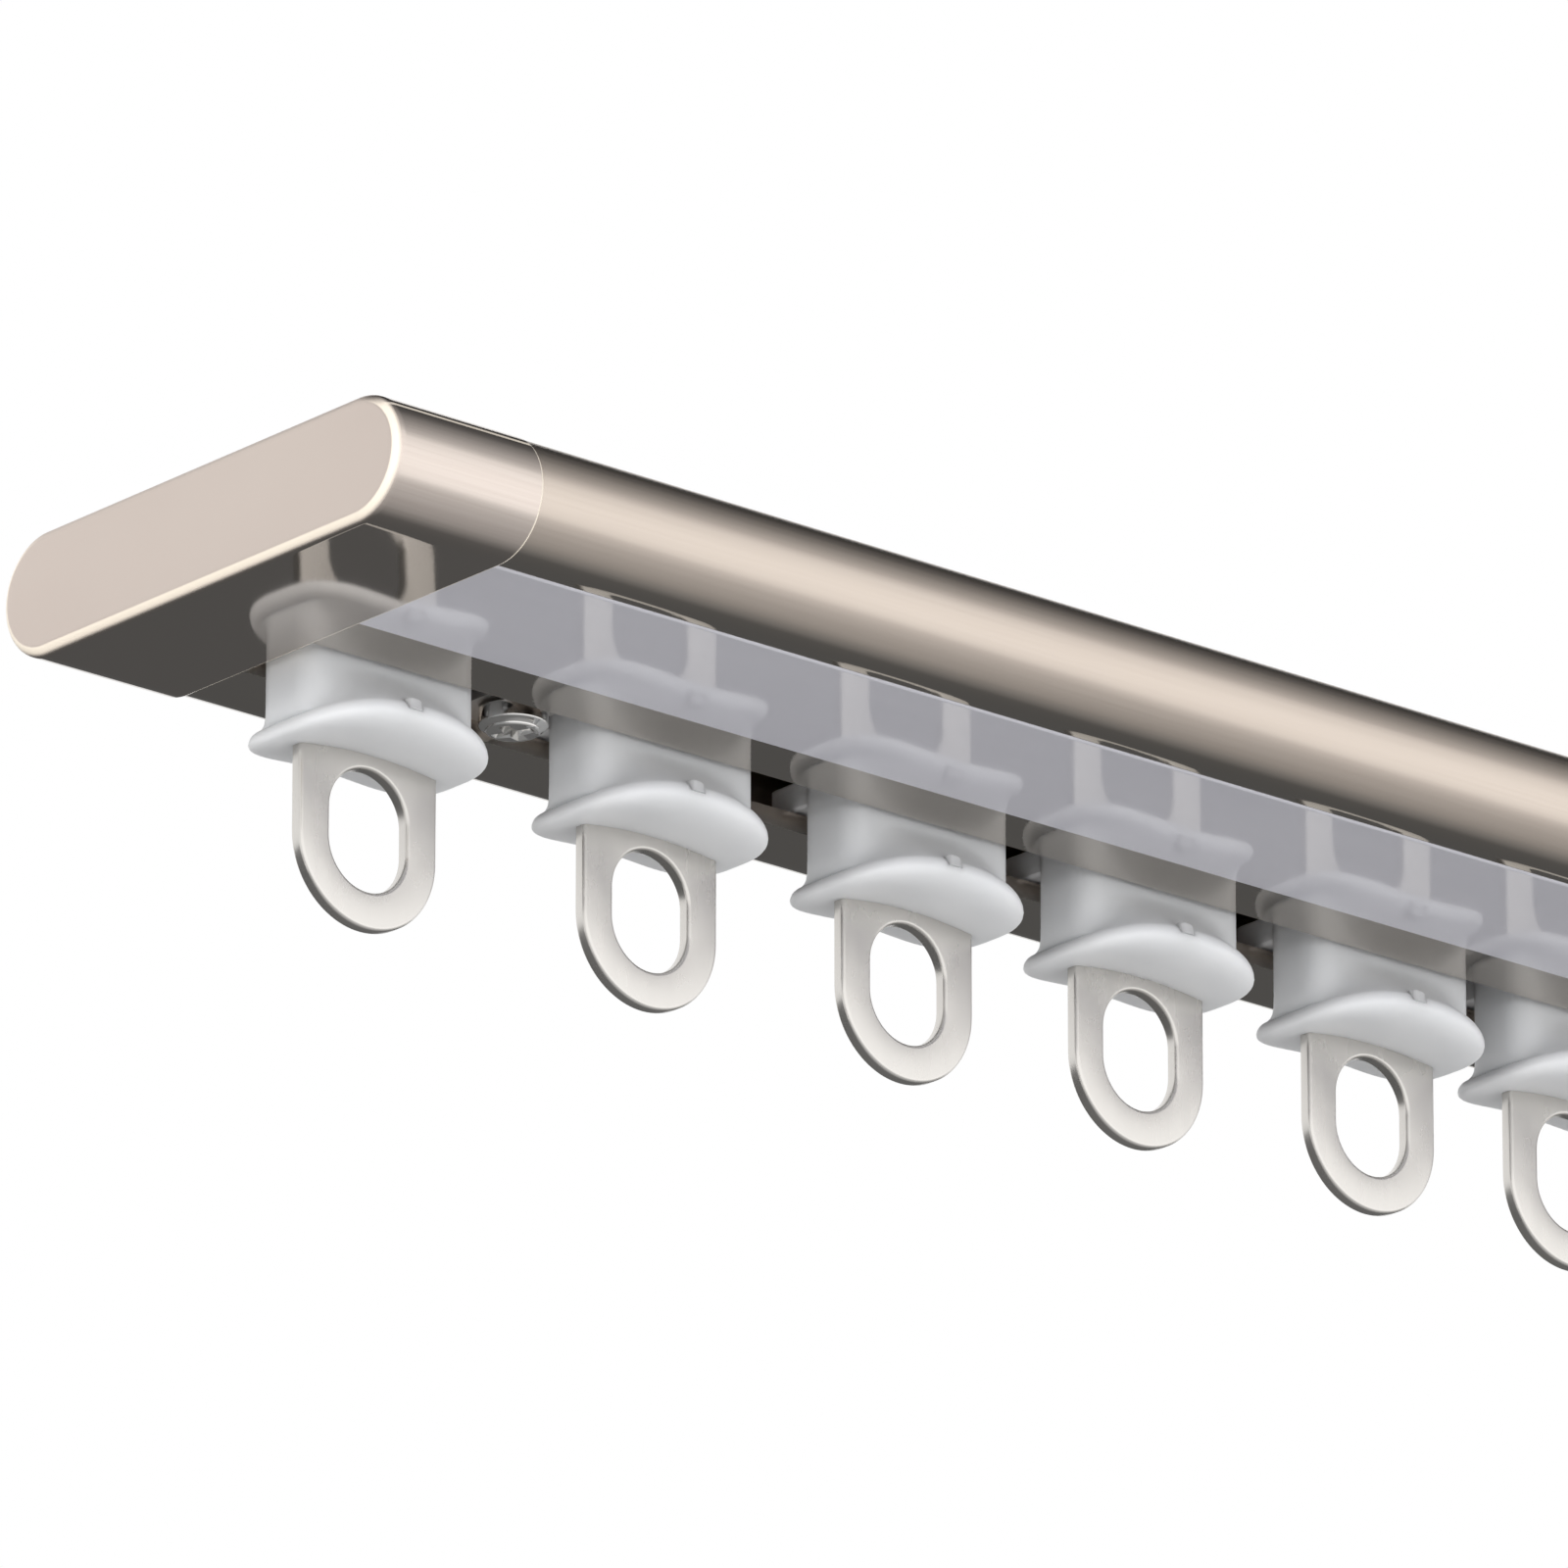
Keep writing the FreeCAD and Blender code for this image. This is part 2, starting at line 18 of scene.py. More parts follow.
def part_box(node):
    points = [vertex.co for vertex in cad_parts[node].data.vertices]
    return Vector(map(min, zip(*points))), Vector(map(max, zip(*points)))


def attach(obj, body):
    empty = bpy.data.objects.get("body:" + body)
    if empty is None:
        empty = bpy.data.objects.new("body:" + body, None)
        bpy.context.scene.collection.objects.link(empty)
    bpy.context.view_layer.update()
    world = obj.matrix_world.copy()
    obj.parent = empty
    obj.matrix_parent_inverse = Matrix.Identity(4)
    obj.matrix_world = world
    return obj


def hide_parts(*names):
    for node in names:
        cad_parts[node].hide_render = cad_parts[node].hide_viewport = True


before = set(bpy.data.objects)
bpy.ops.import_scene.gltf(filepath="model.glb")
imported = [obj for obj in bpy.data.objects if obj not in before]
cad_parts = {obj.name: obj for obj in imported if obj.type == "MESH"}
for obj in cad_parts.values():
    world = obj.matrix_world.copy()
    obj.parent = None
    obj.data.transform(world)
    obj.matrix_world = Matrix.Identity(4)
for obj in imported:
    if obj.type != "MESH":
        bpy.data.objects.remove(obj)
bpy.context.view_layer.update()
scene = bpy.context.scene
scene.view_settings.view_transform = "Standard"
MM = 0.001
CARRIERS = 6

# %% [markdown]
# ## The camera
#
# The picture is taken from below, in front of the left end, with a long lens. A long lens keeps
# the rail's edges nearly parallel. The camera is placed by two angles and a distance from a point
# on the rail, which is easier to reason about than three coordinates. The point is then moved a
# little left and down, to bring the rail to its place in the picture.

# %% Place the camera
AZIMUTH = math.radians(-40.598)
ELEVATION = math.radians(-19.918)
DISTANCE = 1.95
FOCAL_PIXELS = 19418
PICTURE_PIXELS = 1600
SENSOR = 36
AIM = (-160, 0, -12)
AIM_LEFT, AIM_DOWN = 9.82, 0.84
towards_camera = Vector((
    math.sin(AZIMUTH) * math.cos(ELEVATION),
    -math.cos(AZIMUTH) * math.cos(ELEVATION),
    math.sin(ELEVATION)))
camera_right = Vector((math.cos(AZIMUTH), math.sin(AZIMUTH), 0))
camera_up = towards_camera.cross(camera_right)
aim = Vector(AIM) * MM - camera_right * AIM_LEFT * MM - camera_up * AIM_DOWN * MM

lens = bpy.data.cameras.new("long_lens")
lens.sensor_width = SENSOR
lens.lens = FOCAL_PIXELS * SENSOR / PICTURE_PIXELS
lens.clip_start = 0.05
camera = bpy.data.objects.new("camera", lens)
scene.collection.objects.link(camera)
camera.matrix_world = Matrix.Translation(aim + towards_camera * DISTANCE) @ Matrix((
    camera_right, camera_up, towards_camera)).transposed().to_4x4()
scene.camera = camera
print("camera at", [round(x, 3) for x in camera.location], "lens", round(lens.lens, 1))

# %% [markdown]
# ## Shader maths
#
# A finish is easier to read as arithmetic than as a list of nodes and links. One small class
# wraps the output of a node and gives it the usual operators, and a second one holds a material
# and adds any other kind of node to it.

# %% Two helpers for materials
class Signal:
    """The output of a node, which can be added, multiplied and so on like a number."""

    def __init__(self, finish, socket):
        self.finish, self.socket = finish, socket

    def maths(self, operation, first, second):
        return self.finish.node(
            "ShaderNodeMath", {"operation": operation}, {0: first, 1: second})

    def __add__(self, other):
        return self.maths("ADD", self, other)

    def __sub__(self, other):
        return self.maths("SUBTRACT", self, other)

    def __rsub__(self, other):
        return self.maths("SUBTRACT", other, self)

    def __mul__(self, other):
        return self.maths("MULTIPLY", self, other)

    __radd__, __rmul__ = __add__, __mul__


class Finish:
    """A material with one Principled shader, and the nodes that vary it over the surface."""

    def __init__(self, name, **constants):
        self.material = bpy.data.materials.new(name)
        self.material.use_nodes = True
        self.nodes = self.material.node_tree.nodes
        self.shader = self.nodes["Principled BSDF"]
        for socket, constant in constants.items():
            self.shader.inputs[socket].default_value = constant
        self.place = self.node("ShaderNodeTexCoord", output="Object")

    def node(self, kind, settings=None, inputs=None, output=0):
        node = self.nodes.new(kind)
        for setting, choice in (settings or {}).items():
            setattr(node, setting, choice)
        for socket, value in (inputs or {}).items():
            self.feed(node.inputs[socket], value)
        return Signal(self, node.outputs[output])

    def feed(self, socket, value):
        if isinstance(value, Signal):
            self.material.node_tree.links.new(value.socket, socket)
        else:
            socket.default_value = value

    def noise(self, per_metre, detail=3.0, stretch=(1, 1, 1)):
        """Soft random values about 0.5, with so many features to the metre along each axis."""
        across = self.node("ShaderNodeMapping", inputs={"Vector": self.place, "Scale": stretch})
        return self.node(
            "ShaderNodeTexNoise", inputs={"Vector": across, "Scale": per_metre, "Detail": detail},
            output="Fac")

    def between(self, value, start, end):
        """A soft step from 0, where the value is start, to 1, where it is end."""
        return self.node(
            "ShaderNodeMapRange", {"interpolation_type": "SMOOTHSTEP"},
            {"Value": value, "From Min": start, "From Max": end})

    def height(self, axis="Z"):
        """Where a point lies along an axis, in millimetres."""
        parts = self.node("ShaderNodeSeparateXYZ", inputs={0: self.place}, output=axis)
        return parts * 1000.0

    def mix(self, factor, first, second):
        """A number between two numbers."""
        return self.node(
            "ShaderNodeMix", {"data_type": "FLOAT"}, {0: factor, 2: first, 3: second})

    def blend(self, factor, first, second):
        """A colour between two colours."""
        colours = [c if isinstance(c, Signal) else (*c, 1) for c in (first, second)]
        return self.node(
            "ShaderNodeMix", {"data_type": "RGBA"},
            {0: factor, 6: colours[0], 7: colours[1]}, output=2)

    def ramp(self, factor, stops):
        """A grey that follows a list of stops, each a position from 0 to 1 and a brightness."""
        shade = self.node("ShaderNodeValToRGB", inputs={"Fac": factor})
        elements = shade.socket.node.color_ramp.elements
        elements.remove(elements[1])
        for i, (position, brightness) in enumerate(stops):
            stop = elements.new(position) if i else elements[0]
            stop.position, stop.color = position, (brightness, brightness, brightness, 1)
        return shade

    def set(self, **sockets):
        for socket, value in sockets.items():
            self.feed(self.shader.inputs[socket.replace("_", " ")], value)

    def bump(self, height, strength, distance):
        """Lets a height pattern tilt the surface."""
        bumped = self.node(
            "ShaderNodeBump", inputs={"Height": height, "Strength": strength, "Distance": distance})
        self.set(Normal=bumped)


finishes = {}
print("shader helpers ready")

# %% [markdown]
# ## Champagne aluminium
#
# The rail is drawn aluminium with a champagne anodised coat. Drawing leaves fine lines along the
# rail, so the noise is stretched along X. The underside is polished until it mirrors the
# carriers, while the rounded front and back have a satin brushing. The height of a point tells
# the two apart. The underside is also given a darker colour, which is painted shade.

# %% The rail's finish
def champagne(name, satin, polish, warm, pale):
    """Drawn, anodised aluminium: satin rounds, a polished underside darkened by painted shade."""
    finish = Finish(name, Metallic=1.0)
    lines = finish.noise(2600, 2.0, (0.012, 1, 1))
    broad = finish.noise(60, 2.0, (0.2, 1, 1))
    under = finish.between(finish.height(), -11.6, -12.9)
    coat = finish.blend(lines * 0.5 + broad * 0.5, warm, pale)
    # Painted shade: the underside's colour is darker than the rounds'.
    underside_painted_shade = finish.blend(broad, (0.41, 0.38, 0.345), (0.48, 0.445, 0.405))
    finish.set(
        Base_Color=finish.blend(under, coat, underside_painted_shade),
        Roughness=finish.mix(under, satin, polish) + (lines - 0.5) * 0.10)
    finish.bump(lines, 0.06, 0.00005)
    return finish


finishes["champagne_aluminium"] = champagne(
    "champagne_aluminium", 0.24, 0.05, (0.58, 0.50, 0.435), (0.68, 0.60, 0.53))
print("rail finish ready")

# %% [markdown]
# ## The end caps' enamel
#
# The caps wear a metallic enamel in the rail's colour. It is matt on the flat end, and on the long
# sides glossier than the rail's front. A very fine grain keeps the broad flat face from looking
# empty. Three cream lines are painted highlights, a colour that is not metallic: round the flat
# end's edge, at the seam to the rail, and in a fine line along the front. The glossy underside is
# painted darker, which is painted shade. Each is a mask made from where a point lies.

# %% The caps' finish
finish = Finish("cap_enamel", Metallic=1.0)
grain = finish.noise(5200, 3.0)
cloud = finish.noise(45, 2.0)
lines = finish.noise(2600, 2.0, (0.012, 1, 1))
along = finish.node("ShaderNodeMath", {"operation": "ABSOLUTE"}, {0: finish.height("X")})
matt = finish.between(along, 248.8, 249.9)
low = finish.between(finish.height(), -0.4, -2.6)
# Painted highlight: a cream line round the flat end's rounded edge, kept off its top.
edge = (finish.between(along, 249.2, 249.7) - finish.between(along, 249.94, 249.99)) * low
front = finish.between(finish.height("Y"), 0, -1)
# Painted highlight: a fine cream line along the front of the cap.
glint = (finish.between(finish.height(), -2.3, -2.15)
         - finish.between(finish.height(), -1.95, -1.8)) * front * (1 - matt)
# Painted highlight: a cream line at the seam to the rail.
seam = finish.between(along, 231.45, 231.3)
under = finish.between(finish.height(), -12.2, -13.3)
side_gloss = finish.mix(under, 0.13, 0.06)
sides = finish.blend(lines, (0.66, 0.575, 0.52), (0.76, 0.68, 0.62))
face = finish.blend(cloud, (0.72, 0.625, 0.565), (0.765, 0.675, 0.61))
# Painted shade: the glossy underside is given a darker colour than the sides.
coat = finish.blend(matt, finish.blend(under, sides, (0.46, 0.42, 0.385)), face)
# The three painted highlights: a cream colour that is not metallic, so the lamps light it.
painted_highlight = edge * 0.9 + seam + glint * 0.8
finish.set(
    Base_Color=finish.blend(painted_highlight, coat, (0.92, 0.83, 0.70)),
    Metallic=1 - painted_highlight,
    Roughness=finish.mix(matt, side_gloss, 0.42) + (grain - 0.5) * 0.08)
finish.bump(grain, 0.05, 0.00003)
finishes["cap_enamel"] = finish
print("cap finish ready")

# %% [markdown]
# ## Plastic strip, nylon, nickel and steel
#
# The strip in the underside is a glossy lavender grey plastic that mirrors the carriers at this
# low angle, so its refraction is high. The carriers are translucent nylon: a little light
# enters and scatters under the skin. The eyelets are stamped nickel plate with fine scratches,
# and the stop screws are bright zinc plated steel.

# %% The other finishes
finish = Finish("strip_plastic", IOR=2.1)
cloud = finish.noise(120, 2.0, (0.2, 1, 1))
fine = finish.noise(4000, 2.0, (0.05, 1, 1))
finish.set(
    Base_Color=finish.blend(cloud, (0.50, 0.50, 0.555), (0.56, 0.56, 0.61)),
    Roughness=fine * 0.06 + 0.04)
finish.bump(fine, 0.03, 0.00003)
finishes["strip_plastic"] = finish

finish = Finish("nylon", IOR=1.53)
finish.shader.inputs["Subsurface Weight"].default_value = 0.6
finish.shader.inputs["Subsurface Radius"].default_value = (1.0, 1.0, 1.0)
finish.shader.inputs["Subsurface Scale"].default_value = 0.003
cloud = finish.noise(160, 3.0)
fine = finish.noise(2400, 3.0)
finish.set(
    Base_Color=finish.blend(cloud, (0.67, 0.685, 0.705), (0.74, 0.75, 0.765)),
    Roughness=cloud * 0.12 + 0.36)
finish.bump(fine, 0.05, 0.00006)
finishes["nylon"] = finish

finish = Finish("nickel", Metallic=1.0)
scratch = finish.noise(700, 5.0, (1.0, 0.3, 0.06))
cross = finish.noise(900, 5.0, (0.08, 0.3, 1.0))
cloud = finish.noise(150, 3.0)
# The colour is mostly painted shade, darker up under the flange and paler towards the bottom, and
# partly random tone.
low = finish.between(finish.height(), -17, -37)
finish.set(
    Base_Color=finish.blend(
        low * 0.75 + cloud * 0.25, (0.60, 0.58, 0.55), (0.77, 0.745, 0.71)),
    Roughness=cloud * 0.12 + scratch * 0.10 + 0.17)
finish.bump(scratch * 0.5 + cross * 0.5, 0.025, 0.00002)
finishes["nickel"] = finish

finish = Finish("steel", Metallic=1.0)
cloud = finish.noise(700, 3.0)
fine = finish.noise(5000, 3.0)
finish.set(
    Base_Color=finish.blend(cloud, (0.70, 0.69, 0.67), (0.86, 0.85, 0.83)),
    Roughness=cloud * 0.08 + 0.05)
finish.bump(fine, 0.04, 0.00003)
finishes["steel"] = finish

finish = Finish("stop_aluminium", Metallic=1.0)
lines = finish.noise(2200, 3.0, (1, 0.03, 1))
finish.set(
    Base_Color=finish.blend(lines, (0.48, 0.46, 0.44), (0.62, 0.60, 0.58)),
    Roughness=lines * 0.15 + 0.30)
finish.bump(lines, 0.08, 0.00005)
finishes["stop_aluminium"] = finish
print("finishes:", ", ".join(finishes))

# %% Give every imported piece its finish
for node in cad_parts.values():
    for slot in node.material_slots:
        key = slot.material.name.split(".")[0]
        if key in finishes and slot.material != finishes[key].material:
            slot.material = finishes[key].material
print({name: [s.material.name for s in node.material_slots]
       for name, node in list(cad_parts.items())[:6]})


# %% [markdown]
# ## Meshes from rings
#
# The caps, carriers, eyelets and screws are all skins stretched over rings of points. Two
# neighbouring rings with as many points are joined by a band of four-sided faces. That gives full
# control over how a section changes, and a clean mesh with no stray points.

# %% Helpers for ring-built meshes
def new_piece(name, points, faces, finish, smooth_below=32):
    """A closed mesh object at the origin, smooth except at edges sharper than an angle."""
    mesh = bpy.data.meshes.new(name)
    mesh.from_pydata([tuple(p) for p in points], [], faces)
    tidy = bmesh.new()
    tidy.from_mesh(mesh)
    bmesh.ops.remove_doubles(tidy, verts=tidy.verts, dist=1e-7)
    bmesh.ops.recalc_face_normals(tidy, faces=tidy.faces)
    tidy.to_mesh(mesh)
    tidy.free()
    mesh.shade_smooth()
    mesh.set_sharp_from_angle(angle=math.radians(smooth_below))
    mesh.materials.append(finishes[finish].material)
    piece = bpy.data.objects.new(name, mesh)
    scene.collection.objects.link(piece)
    return piece


def band(first, second, count):
    """The four-sided faces between two rings, given the number of each ring's first point."""
    return [(first + i, first + (i + 1) % count, second + (i + 1) % count, second + i)
            for i in range(count)]


def skin(rings):
    """Points and faces of a closed shell over a stack of rings, with a lid at either end."""
    count = len(rings[0])
    faces = [tuple(range(count)), tuple((len(rings) - 1) * count + i for i in range(count))]
    for i in range(len(rings) - 1):
        faces += band(i * count, (i + 1) * count, count)
    return np.concatenate(rings), faces


def rounded_rectangle(length, width, corner, steps=10):
    """Points round a rounded rectangle about the origin, in two columns."""
    points = []
    for turn, (sign_x, sign_y) in enumerate(((1, 1), (-1, 1), (-1, -1), (1, -1))):
        for i in range(steps + 1):
            angle = math.radians(90 * (turn + i / steps))
            points.append((
                sign_x * (length / 2 - corner) + corner * math.cos(angle),
                sign_y * (width / 2 - corner) + corner * math.sin(angle)))
    return np.array(points)


def run_along(corners, count):
    """Evenly spaced points along a closed run of points."""
    closed = np.vstack([corners, corners[:1]])
    steps = np.linalg.norm(np.diff(closed, axis=0), axis=1)
    travelled = np.concatenate([[0], np.cumsum(steps)])
    at = np.linspace(0, travelled[-1], count, endpoint=False)
    return np.column_stack([np.interp(at, travelled, closed[:, k]) for k in (0, 1)])


def middle(node):
    """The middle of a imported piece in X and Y, in metres, with no height."""
    low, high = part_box(node)
    return np.array([(low[0] + high[0]) / 2, (low[1] + high[1]) / 2, 0])


print("ring helpers ready")

# %% [markdown]
# ## The rail
#
# An extrusion has one section all along, so Geometry Nodes suit it: the section is filled,
# pulled along X, and the ceiling holes are cut by countersinks set out on a line. Length, hole
# spacing and hole sizes are inputs of the tree, as they are for the maker.

# %% The rail's section
RAIL_RADIUS = 6.5
HALF_WIDTH = 31.0
ROUND_STEPS, CHAMBER_STEPS = 40, 24


def arc(centre, radius, start, end, steps):
    """Points on an arc in the rail's section, from one angle to another in degrees."""
    return [(centre + radius * math.cos(math.radians(start + (end - start) * i / steps)),
             -RAIL_RADIUS + radius * math.sin(math.radians(start + (end - start) * i / steps)))
            for i in range(steps + 1)]


SKIN, WEB, ROOF, LIP_TOP, UNDERSIDE = 1.3, 1.3, -2.2, -11.0, -13.0
SLOT_FRONT, SLOT_BACK, CHANNEL_FRONT, CHANNEL_BACK = 5.4, 16.4, -0.4, 22.2
GROOVE_FRONT, GROOVE_BACK, GROOVE_TOP = -23.7, -2.0, -12.0
SLOT_MIDDLE = 10.9
DRILL_LENGTH = 8.0
inner = RAIL_RADIUS - SKIN
groove_depth = GROOVE_TOP - UNDERSIDE
floor_angle = -math.degrees(math.asin((RAIL_RADIUS - groove_depth - SKIN) / inner))
back_angle = math.degrees(math.acos((CHANNEL_BACK + WEB - (HALF_WIDTH - RAIL_RADIUS)) / inner))
outline = (
    arc(HALF_WIDTH - RAIL_RADIUS, RAIL_RADIUS, -90, 90, ROUND_STEPS)
    + arc(RAIL_RADIUS - HALF_WIDTH, RAIL_RADIUS, 90, 270, ROUND_STEPS)
    + [(GROOVE_FRONT, UNDERSIDE), (GROOVE_FRONT, GROOVE_TOP), (GROOVE_BACK, GROOVE_TOP),
       (GROOVE_BACK, UNDERSIDE), (SLOT_FRONT, UNDERSIDE), (SLOT_FRONT, LIP_TOP),
       (CHANNEL_FRONT, LIP_TOP), (CHANNEL_FRONT, ROOF), (CHANNEL_BACK, ROOF),
       (CHANNEL_BACK, LIP_TOP), (SLOT_BACK, LIP_TOP), (SLOT_BACK, UNDERSIDE)])
front_chamber = (
    arc(RAIL_RADIUS - HALF_WIDTH, inner, 90, 180 - floor_angle, CHAMBER_STEPS)
    + [(CHANNEL_FRONT - WEB, -RAIL_RADIUS + inner * math.sin(math.radians(floor_angle))),
       (CHANNEL_FRONT - WEB, -SKIN)])
back_chamber = arc(HALF_WIDTH - RAIL_RADIUS, inner, -back_angle, back_angle, CHAMBER_STEPS)
print("section points:", len(outline), len(front_chamber), len(back_chamber))


# %% Pull the section along the rail
class Tree:
    """A Geometry Nodes tree with named inputs."""

    def __init__(self, name):
        self.tree = bpy.data.node_groups.new(name, "GeometryNodeTree")
        self.tree.interface.new_socket("Geometry", in_out="INPUT", socket_type="NodeSocketGeometry")
        self.tree.interface.new_socket("Geometry", in_out="OUTPUT", socket_type="NodeSocketGeometry")
        self.start = self.tree.nodes.new("NodeGroupInput")
        self.identifiers = {}

    def size(self, name, value, kind="NodeSocketFloat"):
        """A named input with its usual value."""
        socket = self.tree.interface.new_socket(name, in_out="INPUT", socket_type=kind)
        self.identifiers[name] = (socket.identifier, value)
        return self.start.outputs[name]

    def node(self, kind, settings=None, inputs=None, output=0):
        node = self.tree.nodes.new(kind)
        for setting, choice in (settings or {}).items():
            setattr(node, setting, choice)
        for socket, value in (inputs or {}).items():
            for one in value if isinstance(value, list) else [value]:
                if isinstance(one, bpy.types.NodeSocket):
                    self.tree.links.new(one, node.inputs[socket])
                else:
                    node.inputs[socket].default_value = one
        return node.outputs[output]

    def finish(self, geometry, material):
        """Ends the tree with plain geometry that wears the material."""
        plain = self.node("GeometryNodeRealizeInstances", inputs={"Geometry": geometry})
        dressed = self.node(
            "GeometryNodeSetMaterial", inputs={"Geometry": plain, "Material": material})
        end = self.tree.nodes.new("NodeGroupOutput")
        self.tree.links.new(dressed, end.inputs[0])

    def make(self, piece):
        """Runs the tree on an object and keeps the result as its plain mesh."""
        modifier = piece.modifiers.new("tree", "NODES")
        modifier.node_group = self.tree
        for identifier, value in self.identifiers.values():
            modifier[identifier] = value
        depsgraph = bpy.context.evaluated_depsgraph_get()
        made = bpy.data.meshes.new_from_object(piece.evaluated_get(depsgraph))
        piece.modifiers.remove(modifier)
        piece.data = made
        return piece


def edges_of(loops):
    """The loops as separate closed runs of edges in the plane of X and Y, in metres."""
    points, edges = [], []
    for loop in loops:
        first = len(points)
        points += [(across * MM, up * MM, 0) for across, up in loop]
        edges += [(first + i, first + (i + 1) % len(loop)) for i in range(len(loop))]
    return points, edges


mesh = bpy.data.meshes.new("rail_section")
points, edges = edges_of([outline, front_chamber, back_chamber])
mesh.from_pydata(points, edges, [])
rail = bpy.data.objects.new("rail_extrusion", mesh)
scene.collection.objects.link(rail)

tree = Tree("drawn_rail")
start = tree.size("Start", -231.0 * MM)
length = tree.size("Length", 462.0 * MM)
spacing = tree.size("Hole spacing", 328.0 * MM)
head = tree.size("Countersink radius", 4.2 * MM)
bore = tree.size("Hole radius", 2.25 * MM)
curve = tree.node("GeometryNodeMeshToCurve", inputs={0: tree.start.outputs["Geometry"]})
filled = tree.node("GeometryNodeFillCurve", inputs={"Curve": curve})
pulled = tree.node(
    "GeometryNodeExtrudeMesh", {"mode": "FACES"},
    {"Mesh": filled, "Offset": (0.0, 0.0, 1.0), "Offset Scale": length, "Individual": False})
turned_base = tree.node("GeometryNodeFlipFaces", inputs={0: filled})
joined = tree.node("GeometryNodeJoinGeometry", inputs={0: [pulled, turned_base]})
welded = tree.node("GeometryNodeMergeByDistance", inputs={"Geometry": joined, "Distance": 1e-6})
upright = tree.node(
    "GeometryNodeTransform",
    inputs={"Geometry": welded, "Rotation": (math.radians(90), 0.0, math.radians(90))})
shift = tree.node("ShaderNodeCombineXYZ", inputs={0: start})
placed = tree.node("GeometryNodeSetPosition", inputs={"Geometry": upright, "Offset": shift})
cone_height = tree.node(
    "ShaderNodeMath", {"operation": "SUBTRACT"}, {0: head, 1: bore})
cone = tree.node(
    "GeometryNodeMeshCone",
    inputs={"Vertices": 48, "Radius Top": bore, "Radius Bottom": head, "Depth": cone_height})
drill = tree.node(
    "GeometryNodeMeshCylinder", inputs={"Vertices": 48, "Radius": bore, "Depth": DRILL_LENGTH * MM})
half = tree.node("ShaderNodeMath", {"operation": "MULTIPLY"}, {0: spacing, 1: -0.5})
row_start = tree.node("ShaderNodeCombineXYZ", inputs={0: half, 1: SLOT_MIDDLE * MM, 2: ROOF * MM})
row_step = tree.node("ShaderNodeCombineXYZ", inputs={0: spacing})
row = tree.node(
    "GeometryNodeMeshLine", inputs={"Count": 2, "Start Location": row_start, "Offset": row_step})
cones = tree.node("GeometryNodeInstanceOnPoints", inputs={"Points": row, "Instance": cone})
drills = tree.node("GeometryNodeInstanceOnPoints", inputs={"Points": row, "Instance": drill})
cut = placed
for cutters in (drills, cones):
    cut = tree.node(
        "GeometryNodeMeshBoolean", {"operation": "DIFFERENCE", "solver": "EXACT"},
        {"Mesh 1": cut, "Mesh 2": cutters})
tree.finish(cut, finishes["champagne_aluminium"].material)
tree.make(rail)
rail.data.shade_smooth()
rail.data.set_sharp_from_angle(angle=math.radians(25))
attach(rail, "track")
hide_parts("rail")

# %% [markdown]
# ## The end caps
#
# A cap is a flat oval cup with a softly rounded edge round its flat end. That edge carries a thin
# cream line all round the face, a painted highlight in the cap's finish, and its rounding is real
# geometry: rings that shrink along a quarter circle. The cap's inside and its tongues stay hidden
# against the rail, so this cap is solid and ends there in a flat back.

# %% Build both caps
CAP_RADIUS, CAP_HALF_WIDTH, CAP_END = 6.7, 31.4, 250.0
EDGE = 1.2
EDGE_STEPS = 10


def flat_oval(inset, per_end=48):
    """Points round the cap's section, drawn in by an inset, in columns across and up."""
    radius = CAP_RADIUS - inset
    centre = CAP_HALF_WIDTH - CAP_RADIUS
    points = []
    for side, start in ((1, -90), (-1, 90)):
        for i in range(per_end + 1):
            angle = math.radians(start + 180 * i / per_end)
            points.append((side * centre + radius * math.cos(angle),
                           -CAP_RADIUS + radius * math.sin(angle)))
    return np.array(points)


# The profile runs from the seam to the flat end: how far a ring lies from the track's middle, and
# how far it is drawn in.
for side, name in ((-1, "end_cap_left"), (1, "end_cap_right")):
    profile = [(231.0, 0.4), (231.06, 0.2), (231.2, 0.06), (231.4, 0.0), (231.42, 0.0),
               (CAP_END - EDGE - 0.02, 0.0)]
    for i in range(EDGE_STEPS + 1):
        angle = math.radians(90 * i / EDGE_STEPS)
        profile.append((CAP_END - EDGE + EDGE * math.sin(angle), EDGE * (1 - math.cos(angle))))
    rings = []
    for reach, inset in profile:
        section = flat_oval(inset) * MM
        rings.append(np.column_stack([np.full(len(section), side * reach * MM), section]))
    cap = new_piece(name + "_shell", *skin(rings), "cap_enamel")
    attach(cap, "track")
    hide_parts(name)
print("cap rings:", len(profile))

# %% [markdown]
# ## The carriers
#
# Each carrier is one moulding: a box neck that passes through the slot, and a thick flange with
# a fully rounded rim, which arches down at both ends. Rings that turn from the neck's section
# into the flange's plan give the flare between them, which leaves the neck upright and meets the
# rim at a slant.

# %% The carrier's rings
# The neck's length, width and corner, and three heights: its top, the flare's and the flange's.
NECK = (22.4, 8.6, 2.5)
HEAD_TOP, FLARE_TOP, FLANGE_TOP = -2.9, -13.4, -17.45
# The rim's radius, and the line that it follows: half its length and width, and the exponent that
# squares its corners.
RIM = 1.4
SPINE = (10.45, 7.7, 3.4)
# How far the flange falls at its ends, and the exponent that keeps its middle level, then how deep
# its dome is, how much the flare leans at the front and how much lower it starts at the ends.
DROOP, FALL_POWER = 2.0, 2.4
DEPTH_BELOW = 1.9
LEAN, END_DROP = math.radians(36), 3.4
RING_POINTS = 96

